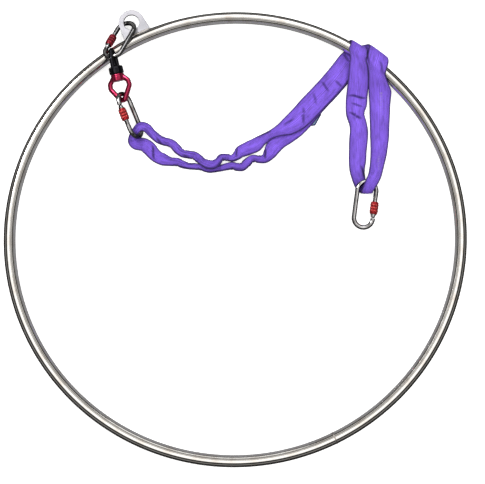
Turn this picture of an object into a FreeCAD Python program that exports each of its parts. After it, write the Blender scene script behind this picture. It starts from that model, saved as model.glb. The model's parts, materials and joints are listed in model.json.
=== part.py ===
import FreeCAD, Part
import math
import os

from FreeCAD import Matrix, Placement, Rotation, Vector

# Aerial hoop rigging set, laid on a floor: steel hoop with its welded tab, a screw-gate carabiner
# through the tab, a ball-bearing swivel, a second carabiner, an endless round sling that is draped
# over the hoop, and a third carabiner in the sling's other end. Millimetres, +Z up, origin on the
# floor below the middle of the hoop. +Y runs from the lowest point of the hoop towards the drape.

# --- Driving dimensions -------------------------------------------------------------------------
HOOP_RADIUS = 475.0        # to the middle of the tube
TUBE_RADIUS = 12.5
TUBE_WALL = 2.0
HOOP_TILT = 0.611          # degrees; the sling under the tube lifts that side
BUTT_GAP = 3.0             # gap between the tube's ends, filled by the weld
BUTT_ANGLE = -64.3         # the butt joint is opposite the tab
JOINT_SLEEVE_HALF_ANGLE = 3.6

TAB_ANGLE = 115.57
TAB_HOLE_RADIUS = 16.6
TAB_END_RADIUS = 28.0
TAB_HOLE_DISTANCE = 516.6  # from the middle of the hoop
TAB_BASE_DISTANCE = 480.0
TAB_BASE_HALF = 31.3
TAB_THICKNESS = 5.6
TAB_EDGE = 1.1
WELD_LEG = 2.4

CLEAR = 0.4                # air between parts of different bodies

WIRE = 5.0                 # carabiner wire radius
BEND = 20.0                # centreline radius of the two ends
STRAIGHT = 29.0            # half of the straight sides
HINGE_AT = -22.0           # hinge pin, along the carabiner from its middle
LATCH_AT = 14.0
GATE_END = 17.3
NOSE_AT = 18.0
LUG_HALF = 2.0             # half thickness of the hinge lug and of the nose tongue
SLOT_HALF = 2.3            # half width of the slots that they sit in
LUG_RADIUS = 4.2
LUG_OFFSET = 1.4           # the lug is a cam that pushes the plunger as the gate opens
SLEEVE_LENGTH = 26.0
SLEEVE_AT = -5.0           # middle of the unlocked sleeve
SLEEVE_RADIUS = 8.5
SLEEVE_BORE = 5.9
THREAD_RADIUS = 5.5
THREAD_START = -17.6
THREAD_PITCH = 1.7
THREAD_WIDTH = 0.9
THREAD_COUNT = 14
SPRING_TURNS = 7

EYE_WIRE = 4.0             # swivel: arms of the upper eye
BOW_WIRE = 4.4             # swivel: arms of the lower bow
HUB_RADIUS = 15.5
HUB_TOP = 40.0             # along the swivel from the tip of its eye
HUB_BOTTOM = 57.0
CAVITY_RADIUS = 11.9
CAVITY_TOP = 44.9
COLLAR_RADIUS = 14.5
COLLAR_TOP = 57.6
COLLAR_BOTTOM = 73.0
SHAFT_RADIUS = 5.2
BALL_RADIUS = 1.4
BALL_CIRCLE = 8.6
BALL_COUNT = 12
BALLS_AT = 51.65

# Where each link of the chain lies: middle or tip, heading, pitch and roll in degrees.
# Side is +1 where the gate is to the left of the heading, and -1 where it is to the right.
TAB_CARABINER = dict(at=(-247.06, 423.78, 34.0), heading=66.22, pitch=-18.73, roll=-26.49, side=1)
SLING_CARABINER = dict(at=(-223.37, 257.26, 27.66), heading=-67.65, pitch=-11.11, roll=55.3, side=-1)
ANCHOR_CARABINER = dict(at=(275.5, 63.5, 11.4), heading=82.1, pitch=6.0, roll=-6.0, side=-1)
SWIVEL_EYE = dict(at=(-262.98, 398.35, 56.15), heading=-76.87, pitch=-11.85, roll=-67.67, side=1)
SWIVEL_BOW = dict(at=(-262.98, 398.35, 56.15), heading=-76.87, pitch=-11.85, roll=22.61, side=1)
EYE_CUT = 240.0            # the sling is divided here, along the swivel's axis from its tip
FOLD_LINE = 215.0          # and here, along Y, where its free end lifts

# The sling. Each row is x, y, z, width and thickness of the woven tube, and where its sections are
# not square to it, the heading of their width in degrees.
CUT_HEADING = 13.1         # level line in the plane where the swivel end is divided off
UPPER_LEG = [
    (-128, 194, 6.6, 19, 12, CUT_HEADING), (-119, 184, 6.6, 16, 12), (-110, 178, 6.6, 15, 12),
    (-98, 175.5, 6.6, 15, 12), (-86, 173, 6.8, 16, 12), (-76, 165.5, 9.5, 16, 11),
    (-67, 157, 15, 15, 10), (-56, 151.5, 17.7, 18, 10), (-45, 151.5, 17.7, 18, 10),
    (-36, 158, 15, 15, 10), (-28, 167.5, 10, 14, 11), (-17, 168.5, 7, 13, 12),
    (-6, 167.5, 6.6, 14, 12), (3, 172, 5.8, 18, 10.5), (12, 181, 4.6, 24, 8),
    (28, 189, 3.9, 27, 7), (45, 197, 3.9, 28, 7), (60, 208.5, 3.9, 21, 7),
    (80, 219.5, 8.3, 18, 6.4), (97, 227.5, 9.0, 25, 5.6), (112, 235, 8.4, 36, 5),
    (128, 246, 8.0, 43, 4.8), (144.5, 261, 7.8, 46, 4.8), (162, 280.5, 7.8, 47, 4.8),
    (179, 298.5, 7.8, 47, 4.8), (197, 318, 7.7, 47, 4.8), (214, 338, 7.5, 47, 4.7),
    (229.5, 358, 7.1, 46, 4.4), (243, 377, 6.8, 45, 4.0), (252, 388, 6.8, 43, 4.0, -33),
]
LOWER_LEG = [
    (-177, 182, 6.2, 30, 9, CUT_HEADING), (-166, 172, 6.0, 27, 9, 35), (-151, 164.5, 6.0, 24, 9),
    (-137, 160.5, 6.4, 18, 11), (-122, 159, 6.6, 16, 12), (-110, 154, 6.4, 14, 12),
    (-98, 150.5, 6.2, 12, 11.5), (-85, 149.5, 6.2, 12, 11.5), (-72, 147.5, 6.2, 11, 11.5),
    (-60, 143.5, 6.0, 11, 11), (-50, 142, 6.0, 11, 11), (-35, 144.5, 6.0, 12, 11),
    (-20, 148, 6.2, 13, 11.5), (-6, 150, 6.4, 15, 12), (5, 148, 6.6, 16, 12),
    (16, 148.5, 6.6, 17, 12), (26, 157, 6.6, 17, 12), (38, 165.5, 6.6, 15, 12),
    (51, 164.5, 6.6, 15, 12), (63, 165.5, 6.4, 18, 11), (73, 176, 5.2, 25, 9),
    (82, 190.5, 3.9, 31, 7), (93, 203, 2.7, 32, 4.9), (107, 215.5, 2.5, 37, 4.6),
    (125, 231, 2.5, 41, 4.6), (143, 251, 2.5, 44, 4.6), (160, 273, 2.5, 45, 4.6),
    (179, 296, 2.5, 46, 4.6), (197, 315, 2.5, 46, 4.6), (214, 335, 2.5, 46, 4.5),
    (230, 355, 2.4, 46, 4.3), (243, 372, 2.3, 45, 4.0), (251, 383, 2.3, 44, 4.0, -34),
]
# Round the tube: angle in the hoop, angle round the tube from its lowest point through the outer
# side, distance from the tube's middle, width, thickness.
UPPER_WRAP = [(57.2, 4, 15.0, 41, 4.0), (57.3, 26, 15.1, 39, 4.0), (57.4, 48, 15.2, 38, 4.2),
              (57.4, 70, 15.4, 38, 4.4), (57.2, 92, 15.5, 38, 4.6), (57.0, 114, 15.6, 39, 4.7),
              (56.6, 137, 15.6, 40, 4.8), (56.3, 160, 15.6, 41, 4.8), (56.0, 183, 15.6, 42, 4.8),
              (55.8, 205, 15.8, 42, 4.8)]
LOWER_WRAP = [(56.4, 5, 19.4, 42, 4.0), (55.8, 25, 19.6, 41, 4.0), (55.0, 44, 20.2, 41, 4.0),
              (54.2, 62, 21.4, 42, 4.2), (53.3, 80, 23.5, 43, 4.4), (52.5, 98, 24.0, 44, 4.6),
              (51.8, 118, 20.5, 46, 4.7), (51.25, 139, 16.6, 48, 4.8), (50.85, 161, 15.6, 49, 4.8),
              (50.3, 183, 15.6, 50, 4.8), (49.95, 205, 15.8, 50, 4.8)]
UPPER_DROP = [
    (266.3, 374, 30.5, 42, 5, -34), (266, 360, 24.0, 42, 5, -24), (265.5, 342, 17.0, 42, 5, -12),
    (264, 322, 10.5, 43, 5), (261.5, 303, 5.6, 43, 5.4), (260, 284, 4.6, 43, 6.4),
    (258, 263, 4.2, 37, 7), (263, 243, 3.8, 35, 6.6), (265, 228, 3.4, 36, 6), (264.5, 215, 3.3, 37, 5.8),
]
LOWER_DROP = [
    (304.5, 345.5, 29.8, 49, 4.9, -41), (308.5, 331.5, 23.5, 48, 5, -33), (310.5, 316, 15.0, 46, 5, -16),
    (311, 298, 7.0, 43, 5), (310.5, 280, 3.6, 42, 5.4), (310, 262, 3.2, 41, 5.6),
    (309.5, 238, 3.2, 39, 5.6), (309, 215, 3.2, 38, 5.6),
]
# The free end, down the left leg, through the anchor carabiner and up the right leg.
FREE_END = [
    (264.5, 215, 3.3, 37, 5.8), (263.5, 202, 3.2, 37, 5.6), (262, 180, 3.2, 35, 5.8),
    (261, 160, 3.3, 34, 6), (260, 142, 3.6, 30, 6.6), (262, 127, 4.0, 27, 7.2), (265.5, 113, 4.2, 25, 7.4),
    (270.5, 101, 4.3, 24, 7, 8), (277, 91.8, 7.6, 23, 6.6, 4), (279.4, 89.2, 13.8, 23, 6.4, 0),
    (281, 92.2, 21.2, 23, 6.4, -4), (286, 101.5, 26.6, 24, 6.6, -10),
    (291.5, 112.5, 27.4, 25, 7), (296.5, 125, 23.2, 26, 7), (300, 139, 15.8, 27, 6.6),
    (303, 155, 8.8, 29, 6.4), (306, 174, 4.4, 32, 6), (308, 195, 3.3, 35, 5.8), (309, 215, 3.2, 38, 5.6),
]
# The other end, down the upper leg, through the sling carabiner and back along the lower leg.
SWIVEL_END = [
    (-128, 194, 6.6, 19, 12, CUT_HEADING), (-139, 201.5, 6.6, 16, 12), (-151, 205, 6.8, 16, 12),
    (-163, 210, 8.5, 17, 11), (-175, 219.5, 13, 17, 9), (-186, 230, 18.5, 18, 7.5),
    (-196, 234, 21.5, 18, 6.5), (-205, 231.5, 20.5, 17, 6), (-212.8, 223.5, 15.5, 15, 6),
    (-217, 215, 9.5, 15, 6.5), (-219, 206.5, 5.5, 15, 7), (-217.5, 199.5, 4.4, 14, 7),
    (-210.5, 196.2, 4.1, 15, 6.6), (-201, 195.2, 4.0, 17, 6.4), (-189, 192.5, 4.8, 24, 7.4),
    (-177, 182, 6.2, 30, 9, CUT_HEADING),
]
SECTION_CORNERS = 8
SECTION_SQUARENESS = 0.6   # 1 is an ellipse, 0 a rectangle
LABEL_OUTLINE = [(161.5, 237), (172, 239), (185.5, 261), (179.5, 260.5)]
LABEL_LOW = 2.0
LABEL_THICKNESS = 1.0
COVER_WALL = 0.8
CORE_GAP = 0.15


# --- Helpers ------------------------------------------------------------------------------------
def save(name, shape):
    shape.exportStep("parts/" + name + ".step")


def cylinder(radius, start, end):
    axis = Vector(*end) - Vector(*start)
    return Part.makeCylinder(radius, axis.Length, Vector(*start), axis)


def box(low, high):
    size = Vector(*high) - Vector(*low)
    return Part.makeBox(size.x, size.y, size.z, Vector(*low))


def tube(outer, inner, start, end):
    return cylinder(outer, start, end).cut(cylinder(inner, start, end))


def union(shapes):
    return shapes[0].multiFuse(shapes[1:]).removeSplitter()


def link_placement(at, heading, pitch, roll, side):
    """Local X runs along the link, local Y across it towards the gate."""
    h, p, r = (math.radians(v) for v in (heading, pitch, roll))
    along = Vector(math.cos(p) * math.cos(h), math.cos(p) * math.sin(h), math.sin(p))
    level = Vector(-math.sin(h), math.cos(h), 0) * side
    up = along.cross(level) * side
    across = level * math.cos(r) + up * math.sin(r)
    normal = along.cross(across)
    matrix = Matrix(along.x, across.x, normal.x, at[0], along.y, across.y, normal.y, at[1],
                    along.z, across.z, normal.z, at[2], 0, 0, 0, 1)
    return Placement(matrix)


def placed(shape, placement):
    result = shape.copy()
    result.transformShape(placement.toMatrix(), True)
    return result


def rounded_sweep(points, radii, wire_radius):
    """A round bar along straight runs joined by tangent arcs, in the local XY plane."""
    points = [Vector(x, y, 0) for x, y in points]
    edges = []
    start = points[0]
    for before, corner, after, radius in zip(points, points[1:], points[2:], radii):
        into = (corner - before).normalize()
        out = (after - corner).normalize()
        half_turn = into.getAngle(out) / 2
        setback = radius * math.tan(half_turn)
        first = corner - into * setback
        last = corner + out * setback
        inward = (out - into).normalize()
        middle = corner + inward * (radius / math.cos(half_turn) - radius)
        edges.append(Part.LineSegment(start, first).toShape())
        edges.append(Part.Arc(first, middle, last).toShape())
        start = last
    edges.append(Part.LineSegment(start, points[-1]).toShape())
    profile = Part.Wire([Part.makeCircle(wire_radius, points[0], points[1] - points[0])])
    return Part.Wire(edges).makePipeShell([profile], True, False)


# --- Hoop, joint and tab ------------------------------------------------------------------------
HOOP_PLACE = Placement(Vector(0, 0, TUBE_RADIUS), Rotation()).multiply(
    Placement(Vector(), Rotation(Vector(1, 0, 0), HOOP_TILT), Vector(0, -HOOP_RADIUS, 0)))


def ring_piece(outer, inner, middle_angle, sweep):
    """A stretch of the hoop's tube, in the hoop's own plane."""
    solid = Part.makeTorus(HOOP_RADIUS, outer, Vector(), Vector(0, 0, 1), 0, 360, sweep)
    if inner > 0:
        solid = solid.cut(Part.makeTorus(HOOP_RADIUS, inner, Vector(), Vector(0, 0, 1), 0, 360, sweep))
    solid.rotate(Vector(), Vector(0, 0, 1), middle_angle - sweep / 2)
    return solid


def tab_plate():
    half = TAB_THICKNESS / 2
    outline = Part.makePolygon([Vector(TAB_BASE_DISTANCE, -TAB_BASE_HALF, -half),
                                Vector(TAB_HOLE_DISTANCE, -TAB_END_RADIUS, -half),
                                Vector(TAB_HOLE_DISTANCE, TAB_END_RADIUS, -half),
                                Vector(TAB_BASE_DISTANCE, TAB_BASE_HALF, -half),
                                Vector(TAB_BASE_DISTANCE, -TAB_BASE_HALF, -half)])
    web = Part.Face(outline).extrude(Vector(0, 0, TAB_THICKNESS))
    end = cylinder(TAB_END_RADIUS, (TAB_HOLE_DISTANCE, 0, -half), (TAB_HOLE_DISTANCE, 0, half))
    hole = cylinder(TAB_HOLE_RADIUS, (TAB_HOLE_DISTANCE, 0, -half - 1), (TAB_HOLE_DISTANCE, 0, half + 1))
    plate = union([web, end]).cut(hole)
    rims = [edge for edge in plate.Edges if abs(abs(edge.CenterOfMass.z) - half) < 1e-3]
    return plate.makeFillet(TAB_EDGE, rims)


def make_hoop():
    gap_sweep = math.degrees(BUTT_GAP / HOOP_RADIUS)
    inner = TUBE_RADIUS - TUBE_WALL
    save("hoop_tube", placed(ring_piece(TUBE_RADIUS, inner, BUTT_ANGLE + 180, 360 - gap_sweep), HOOP_PLACE))
    save("butt_weld", placed(ring_piece(TUBE_RADIUS + 0.4, inner, BUTT_ANGLE, gap_sweep), HOOP_PLACE))
    sleeve = ring_piece(inner - 0.1, inner - 1.9, BUTT_ANGLE, 2 * JOINT_SLEEVE_HALF_ANGLE)
    save("joint_sleeve", placed(sleeve, HOOP_PLACE))

    core = Part.makeTorus(HOOP_RADIUS, TUBE_RADIUS, Vector(), Vector(0, 0, 1), 0, 360, 16)
    core.rotate(Vector(), Vector(0, 0, 1), -8)
    plate = tab_plate()
    sweep = 2 * math.degrees(TAB_BASE_HALF / TAB_BASE_DISTANCE)
    beads = []
    for side in (-1, 1):
        middle = Vector(0, 0, side * (TAB_THICKNESS / 2 + 0.6))
        bead = Part.makeTorus(HOOP_RADIUS + TUBE_RADIUS, WELD_LEG, middle, Vector(0, 0, 1), 0, 360, sweep)
        bead.rotate(Vector(), Vector(0, 0, 1), -sweep / 2)
        beads.append(bead.cut(core).cut(plate))
    turn = Placement(Vector(), Rotation(Vector(0, 0, 1), TAB_ANGLE))
    save("tab", placed(plate.cut(core), HOOP_PLACE.multiply(turn)))
    save("tab_welds", placed(Part.makeCompound(beads), HOOP_PLACE.multiply(turn)))


# --- Carabiners ---------------------------------------------------------------------------------
def carabiner_frame():
    bends = []
    for end, start_angle in ((STRAIGHT, -90), (-STRAIGHT, 90)):
        bend = Part.makeTorus(BEND, WIRE, Vector(), Vector(0, 0, 1), 0, 360, 180)
        bend.rotate(Vector(), Vector(0, 0, 1), start_angle)
        bend.translate(Vector(end, 0, 0))
        bends.append(bend)
    spine = cylinder(WIRE, (-STRAIGHT, -BEND, 0), (STRAIGHT, -BEND, 0))
    nose = cylinder(WIRE, (NOSE_AT, BEND, 0), (STRAIGHT, BEND, 0))
    heel = cylinder(WIRE, (-STRAIGHT, BEND, 0), (HINGE_AT - WIRE - 0.5, BEND, 0))
    lug = union([
        cylinder(LUG_RADIUS, (HINGE_AT, BEND - LUG_OFFSET, -LUG_HALF),
                 (HINGE_AT, BEND - LUG_OFFSET, LUG_HALF)),
        box((HINGE_AT - WIRE - 1.5, BEND - 3.6, -LUG_HALF), (HINGE_AT, BEND + 2.6, LUG_HALF))])
    tongue = box((10.5, BEND - 3.4, -LUG_HALF), (NOSE_AT + 1, BEND + 3.4, LUG_HALF))
    notch = union([cylinder(1.8, (LATCH_AT, BEND, -3), (LATCH_AT, BEND, 3)),
                   box((LATCH_AT - 1.8, BEND - 5, -3), (LATCH_AT + 1.8, BEND, 3))])
    body = union(bends + [spine, nose, heel, lug, tongue.cut(notch)])
    return body.cut(cylinder(1.5, (HINGE_AT, BEND, -3), (HINGE_AT, BEND, 3)))


def carabiner_gate():
    bar = cylinder(WIRE, (HINGE_AT, BEND, 0), (GATE_END, BEND, 0))
    knuckle = Part.makeSphere(WIRE, Vector(HINGE_AT, BEND, 0))
    flange = cylinder(6.2, (-20.4, BEND, 0), (-18.6, BEND, 0))
    threads = [cylinder(THREAD_RADIUS, (start, BEND, 0), (start + THREAD_WIDTH, BEND, 0))
               for start in (THREAD_START + THREAD_PITCH * n for n in range(THREAD_COUNT))]
    body = union([bar, knuckle, flange] + threads)
    slots = [box((HINGE_AT - 8, BEND - 8, -SLOT_HALF), (HINGE_AT + 5.3, BEND + 8, SLOT_HALF)),
             box((9.5, BEND - 8, -SLOT_HALF), (GATE_END + 1, BEND + 8, SLOT_HALF)),
             cylinder(1.6, (HINGE_AT, BEND, -8), (HINGE_AT, BEND, 8)),
             cylinder(1.25, (LATCH_AT, BEND, -8), (LATCH_AT, BEND, 8)),
             cylinder(1.75, (HINGE_AT, BEND, 0), (-12, BEND, 0)),
             cylinder(2.7, (-14.3, BEND, 0), (5, BEND, 0))]
    return body.cut(slots[0].multiFuse(slots[1:]))


def gate_spring():
    pitch = 16.4 / SPRING_TURNS
    helix = Part.makeHelix(pitch, pitch * SPRING_TURNS, 1.95)
    profile = Part.Wire([Part.makeCircle(0.3, Vector(1.95, 0, 0), Vector(0, 1, 0))])
    coil = Part.Wire(helix.Edges).makePipeShell([profile], True, True)
    coil.rotate(Vector(), Vector(0, 1, 0), 90)
    coil.translate(Vector(-11.8, BEND, 0))
    return coil


def lock_sleeve():
    half = SLEEVE_LENGTH / 2
    profile = [(-half, SLEEVE_BORE), (-half, 7.4), (1.1 - half, SLEEVE_RADIUS), (half - 1.1, SLEEVE_RADIUS),
               (half, 7.4), (half, SLEEVE_BORE), (-half, SLEEVE_BORE)]
    face = Part.Face(Part.makePolygon([Vector(SLEEVE_AT + x, BEND + r, 0) for x, r in profile]))
    return face.revolve(Vector(0, BEND, 0), Vector(1, 0, 0), 360)


def make_carabiner(name, pose):
    place = link_placement(**pose)
    plunger = cylinder(1.5, (HINGE_AT + 4.25, BEND, 0), (-12.6, BEND, 0)).fuse(
        cylinder(2.4, (-13.9, BEND, 0), (-12.2, BEND, 0))).removeSplitter()
    pieces = dict(
        frame=carabiner_frame(), gate=carabiner_gate(), gate_spring=gate_spring(), sleeve=lock_sleeve(),
        plunger=plunger, gate_pin=cylinder(1.5, (HINGE_AT, BEND, -5), (HINGE_AT, BEND, 5)),
        latch_pin=cylinder(1.25, (LATCH_AT, BEND, -4.8), (LATCH_AT, BEND, 4.8)))
    for piece, shape in pieces.items():
        save(name + "_" + piece, placed(shape, place))


# --- Swivel -------------------------------------------------------------------------------------
def chamfered_drum(radius, start, end, chamfer):
    profile = [(start, 0), (start, radius - chamfer), (start + chamfer, radius), (end - chamfer, radius),
               (end, radius - chamfer), (end, 0), (start, 0)]
    face = Part.Face(Part.makePolygon([Vector(x, r, 0) for x, r in profile]))
    return face.revolve(Vector(), Vector(1, 0, 0), 360)


def washer(outer, inner, start, end):
    return tube(outer, inner, (start, 0, 0), (end, 0, 0))


def make_swivel():
    eye_place = link_placement(**SWIVEL_EYE)
    bow_place = link_placement(**SWIVEL_BOW)
    arch = rounded_sweep([(46, -11), (23, -11.5), (EYE_WIRE, -4), (EYE_WIRE, 4), (23, 11.5), (46, 11)],
                         [14, 5, 5, 14], EYE_WIRE)
    hub = chamfered_drum(HUB_RADIUS, HUB_TOP, HUB_BOTTOM, 1.2)
    eye = union([arch, hub]).cut(cylinder(CAVITY_RADIUS, (CAVITY_TOP, 0, 0), (HUB_BOTTOM + 1, 0, 0)))
    save("swivel_top_eye", placed(eye, eye_place))

    save("retaining_ring", placed(washer(CAVITY_RADIUS, 5.8, 55.0, HUB_BOTTOM), eye_place))
    save("bearing_lower_race", placed(washer(CAVITY_RADIUS, 5.8, 53.2, 55.0), eye_place))
    save("bearing_upper_race", placed(washer(11.3, SHAFT_RADIUS, 48.3, 50.1), bow_place))
    balls = []
    pockets = []
    for n in range(BALL_COUNT):
        angle = 2 * math.pi * n / BALL_COUNT
        middle = Vector(BALLS_AT, BALL_CIRCLE * math.cos(angle), BALL_CIRCLE * math.sin(angle))
        balls.append(Part.makeSphere(BALL_RADIUS, middle))
        pockets.append(Part.makeCylinder(BALL_RADIUS + 0.15, 4, middle - Vector(2, 0, 0), Vector(1, 0, 0)))
    cage = washer(10.9, 6.3, BALLS_AT - 0.4, BALLS_AT + 0.4)
    save("bearing_balls", placed(Part.makeCompound(balls), bow_place))
    save("bearing_cage", placed(cage.cut(pockets[0].multiFuse(pockets[1:])), bow_place))

    head = cylinder(10.8, (45.3, 0, 0), (48.3, 0, 0))
    pin_hole = cylinder(2.0, (65, 0, -COLLAR_RADIUS), (65, 0, COLLAR_RADIUS))
    shaft = head.fuse(cylinder(SHAFT_RADIUS, (47, 0, 0), (70.5, 0, 0))).removeSplitter()
    save("swivel_shaft", placed(shaft.cut(pin_hole), bow_place))
    save("shaft_pin", placed(cylinder(2.0, (65, 0, -13.8), (65, 0, 13.8)), bow_place))

    seal = washer(12.6, 7.5, 57.3, 58.5)
    save("dust_seal", placed(seal, bow_place))
    half_bow = [(62, -8.6), (78, -21), (90, -20), (113.6, -4)]
    other_half = [(x, -y) for x, y in reversed(half_bow)]
    bow = rounded_sweep(half_bow + other_half, [9, 9, 4.6, 4.6, 9, 9], BOW_WIRE)
    collar = chamfered_drum(COLLAR_RADIUS, COLLAR_TOP, COLLAR_BOTTOM, 1.2)
    body = union([bow, collar]).cut(washer(12.6, 7.5, COLLAR_TOP - 1, 58.5))
    body = body.cut(cylinder(SHAFT_RADIUS, (COLLAR_TOP - 1, 0, 0), (70.8, 0, 0))).cut(pin_hole)
    save("swivel_bottom_bow", placed(body, bow_place))


# --- Sling --------------------------------------------------------------------------------------
def wrap_rows(rows):
    """Turns rows round the tube into x, y, z, width, thickness and heading."""
    result = []
    for hoop_angle, tube_angle, distance, width, thickness in rows:
        a, b = math.radians(hoop_angle), math.radians(tube_angle)
        reach = HOOP_RADIUS + distance * math.sin(b)
        flat = Vector(reach * math.cos(a), reach * math.sin(a), -distance * math.cos(b))
        point = HOOP_PLACE.multVec(flat)
        result.append((point.x, point.y, point.z, width, thickness, hoop_angle - 90))
    return result


def frames_along(rows):
    """Centre, tangent, width axis, thickness axis, width and thickness of every section."""
    points = [Vector(*row[:3]) for row in rows]
    frames = []
    for i, row in enumerate(rows):
        tangent = (points[min(i + 1, len(rows) - 1)] - points[max(i - 1, 0)]).normalize()
        if len(row) > 5:
            across = Vector(math.cos(math.radians(row[5])), math.sin(math.radians(row[5])), 0)
        else:
            across = tangent.cross(Vector(0, 0, 1)).normalize()
        if frames and across.dot(frames[-1][2]) < 0:
            across = -across
        frames.append((points[i], tangent, across, tangent.cross(across).normalize(), row[3], row[4]))
    return frames


def section(frame, inset, plane):
    """Corners of one section; the end sections are slid along the tube onto a cutting plane."""
    centre, tangent, across, through, width, thickness = frame
    corners = []
    for k in range(SECTION_CORNERS):
        angle = 2 * math.pi * (k + 0.5) / SECTION_CORNERS
        c, s = math.cos(angle), math.sin(angle)
        x = math.copysign(abs(c) ** SECTION_SQUARENESS, c) * (width / 2 - inset)
        z = math.copysign(abs(s) ** SECTION_SQUARENESS, s) * (thickness / 2 - inset)
        point = centre + across * x + through * z
        if plane:
            origin, normal = plane
            point = point + tangent * ((origin - point).dot(normal) / tangent.dot(normal))
        corners.append(point)
    return corners


def skin(rings, outward):
    faces = []
    for lower, upper in zip(rings, rings[1:]):
        for k in range(len(lower)):
            a, b = lower[k], lower[(k + 1) % len(lower)]
            c, d = upper[(k + 1) % len(lower)], upper[k]
            for triangle in ((a, b, c), (a, c, d)):
                corners = triangle if outward else triangle[::-1]
                faces.append(Part.Face(Part.makePolygon(list(corners) + [corners[0]])))
    return faces


def woven_tube(rows, start_plane, end_plane):
    """The hollow cover and the bundle of yarn inside it."""
    frames = frames_along(rows)
    planes = [start_plane] + [None] * (len(frames) - 2) + [end_plane]
    rings = [[section(f, inset, p) for f, p in zip(frames, planes)]
             for inset in (0, COVER_WALL, COVER_WALL + CORE_GAP)]
    outer, inner, core = rings
    ends = []
    for n in (0, -1):
        for k in range(SECTION_CORNERS):
            j = (k + 1) % SECTION_CORNERS
            a, b, c, d = outer[n][k], outer[n][j], inner[n][j], inner[n][k]
            ends += [Part.Face(Part.makePolygon([a, b, c, a])), Part.Face(Part.makePolygon([a, c, d, a]))]
    cover = closed_solid(skin(outer, True) + skin(inner, False) + ends)
    caps = [Part.Face(Part.makePolygon([core[n][0], core[n][k], core[n][k + 1], core[n][0]]))
            for n in (0, -1) for k in range(1, SECTION_CORNERS - 1)]
    return cover, closed_solid(skin(core, True) + caps)


def closed_solid(faces):
    sewn = Part.makeCompound(faces)
    sewn.sewShape()
    shell = sewn.Shells[0] if sewn.Shells else sewn
    solid = Part.Solid(shell)
    if solid.Volume < 0:
        solid.reverse()
    return solid


def make_sling():
    swivel = link_placement(**SWIVEL_BOW)
    axis = swivel.Rotation.multVec(Vector(1, 0, 0))
    cut = lambda distance: (swivel.multVec(Vector(distance, 0, 0)), axis)
    fold = lambda y: (Vector(0, y, 0), Vector(0, 1, 0))
    half = CLEAR / 2

    upper = UPPER_LEG + wrap_rows(UPPER_WRAP) + UPPER_DROP
    lower = LOWER_LEG + wrap_rows(LOWER_WRAP) + LOWER_DROP
    legs = [woven_tube(rows, cut(EYE_CUT + half), fold(FOLD_LINE + half)) for rows in (upper, lower)]
    swivel_end = woven_tube(SWIVEL_END, cut(EYE_CUT - half), cut(EYE_CUT - half))
    free_end = woven_tube(FREE_END, fold(FOLD_LINE - half), fold(FOLD_LINE - half))
    save("sling_cover_run", Part.makeCompound([leg[0] for leg in legs]))
    save("sling_core_run", Part.makeCompound([leg[1] for leg in legs]))
    for name, pair in (("swivel_end", swivel_end), ("free_end", free_end)):
        save("sling_cover_" + name, pair[0])
        save("sling_core_" + name, pair[1])

    flap = [Vector(x, y, LABEL_LOW) for x, y in LABEL_OUTLINE + LABEL_OUTLINE[:1]]
    save("sling_label", Part.Face(Part.makePolygon(flap)).extrude(Vector(0, 0, LABEL_THICKNESS)))


os.makedirs("parts", exist_ok=True)
make_hoop()
for link_name, link_pose in (("tab_carabiner", TAB_CARABINER), ("sling_carabiner", SLING_CARABINER),
                             ("anchor_carabiner", ANCHOR_CARABINER)):
    make_carabiner(link_name, link_pose)
make_swivel()
make_sling()
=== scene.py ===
import json
import math

import bmesh
import bpy
from mathutils import Matrix, Vector, noise


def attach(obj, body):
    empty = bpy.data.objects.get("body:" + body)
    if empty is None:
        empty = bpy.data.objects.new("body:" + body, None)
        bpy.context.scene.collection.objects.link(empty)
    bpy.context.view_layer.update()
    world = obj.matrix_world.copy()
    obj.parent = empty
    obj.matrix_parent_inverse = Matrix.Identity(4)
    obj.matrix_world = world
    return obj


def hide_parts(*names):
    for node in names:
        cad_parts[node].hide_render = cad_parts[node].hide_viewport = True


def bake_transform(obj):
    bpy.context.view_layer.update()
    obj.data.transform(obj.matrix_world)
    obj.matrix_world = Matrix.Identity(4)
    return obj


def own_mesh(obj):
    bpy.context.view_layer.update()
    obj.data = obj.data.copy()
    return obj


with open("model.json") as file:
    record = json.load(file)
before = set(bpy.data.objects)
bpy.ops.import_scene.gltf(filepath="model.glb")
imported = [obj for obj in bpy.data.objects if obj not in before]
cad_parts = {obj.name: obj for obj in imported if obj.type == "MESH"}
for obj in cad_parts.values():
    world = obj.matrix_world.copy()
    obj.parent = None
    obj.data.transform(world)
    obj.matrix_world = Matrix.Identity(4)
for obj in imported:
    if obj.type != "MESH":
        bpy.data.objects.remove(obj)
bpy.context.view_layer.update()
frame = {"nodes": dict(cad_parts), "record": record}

# Looks of an aerial hoop set. Lengths below are in millimetres until to_metres() makes a mesh of
# them, apart from those of the camera and the stage, which are in metres.
MM = 0.001
HOOP_RADIUS = 475.0         # to the middle of the tube
TUBE_RADIUS = 12.5
HOOP_TILT = math.radians(0.611)
HOOP_PLACE = (Matrix.Translation((0, -HOOP_RADIUS, TUBE_RADIUS)) @ Matrix.Rotation(HOOP_TILT, 4, "X")
              @ Matrix.Translation((0, HOOP_RADIUS, 0)))
TAB_ANGLE = math.radians(115.57)
TAB_BASE_HALF = 31.3        # half the length of the tab's foot on the tube
TAB_BASE_DISTANCE = 480.0   # from the middle of the hoop to that foot
TAB_HALF_THICKNESS = 2.8

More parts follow.
